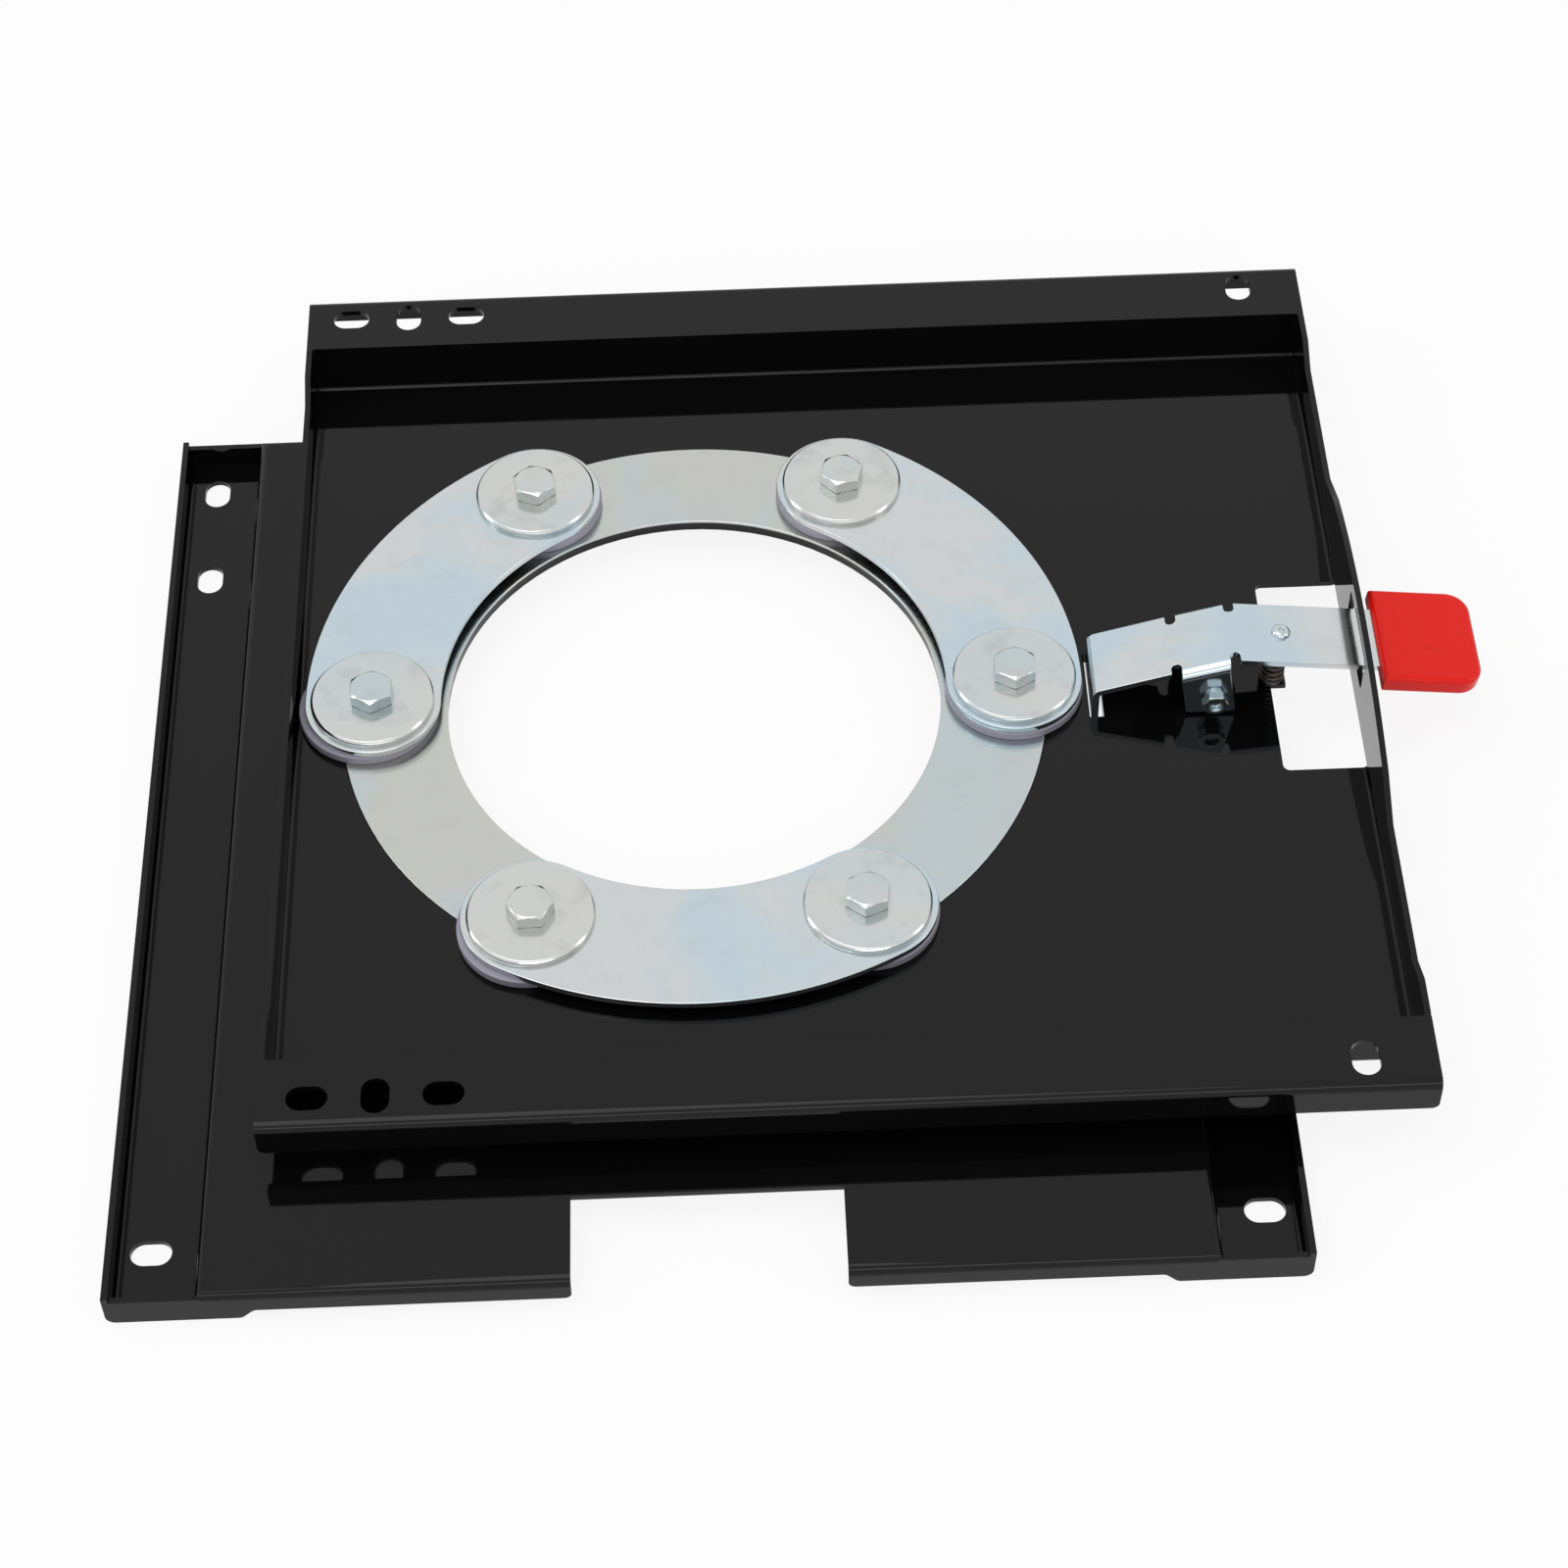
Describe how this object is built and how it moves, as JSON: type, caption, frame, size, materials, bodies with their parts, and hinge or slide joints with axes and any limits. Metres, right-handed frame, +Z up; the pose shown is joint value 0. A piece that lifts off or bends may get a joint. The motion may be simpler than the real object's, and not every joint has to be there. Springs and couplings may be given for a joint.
{
  "type": "swivel seat base",
  "caption": "Low swivel base for a camper seat: slotted lower tray, turning upper tray on a bolted glide bearing, and a sprung locking lever with a moulded grip.",
  "frame": {"origin": "on the swivel axis at the plane that the lower tray stands on", "axes": "+Z up along the swivel axis, +X towards the locking lever, +Y to the rear, away from the notch in the lower tray"},
  "size_m": [0.5554, 0.51, 0.056],
  "materials": {
    "black_paint": "gloss powder coat",
    "zinc_steel": "zinc plated",
    "nylon": "natural nylon",
    "red_grip": "gloss moulded",
    "spring_steel": "oiled spring wire"
  },
  "bodies": {
    "base": {"lower_tray": "black_paint", "bearing_ring": "zinc_steel", "clamp_arc_1": "zinc_steel", "clamp_arc_2": "zinc_steel", "clamp_arc_3": "zinc_steel", "glide_disc_1": "nylon", "glide_disc_2": "nylon", "glide_disc_3": "nylon", "glide_disc_4": "nylon", "glide_disc_5": "nylon", "glide_disc_6": "nylon", "flat_washer_1": "zinc_steel", "flat_washer_2": "zinc_steel", "flat_washer_3": "zinc_steel", "flat_washer_4": "zinc_steel", "flat_washer_5": "zinc_steel", "flat_washer_6": "zinc_steel", "hex_bolt_1": "zinc_steel", "hex_bolt_2": "zinc_steel", "hex_bolt_3": "zinc_steel", "hex_bolt_4": "zinc_steel", "hex_bolt_5": "zinc_steel", "hex_bolt_6": "zinc_steel", "weld_nut_1": "zinc_steel", "weld_nut_2": "zinc_steel", "weld_nut_3": "zinc_steel", "weld_nut_4": "zinc_steel", "weld_nut_5": "zinc_steel", "weld_nut_6": "zinc_steel"},
    "seat_plate": {"upper_tray": "black_paint", "lever_bracket": "black_paint", "return_spring": "spring_steel"},
    "lever": {"lock_lever": "zinc_steel", "lever_grip": "red_grip", "pivot_bolt": "zinc_steel", "pivot_nut": "zinc_steel", "spring_rivet": "zinc_steel"}
  },
  "joints": [
    {"name": "swivel", "type": "hinge", "parent": "base", "child": "seat_plate", "pos_m": [0, 0, 0.0175], "axis": [0, 0, 1], "continuous": true},
    {"name": "lever_pivot", "type": "hinge", "parent": "seat_plate", "child": "lever", "pos_m": [0.2172, 0, 0.03], "axis": [0, 1, 0], "range_deg": [-6, 4], "stiffness_Nm_per_rad": 2.8, "springref_deg": -0.8, "deforming": ["return_spring"]}
  ]
}
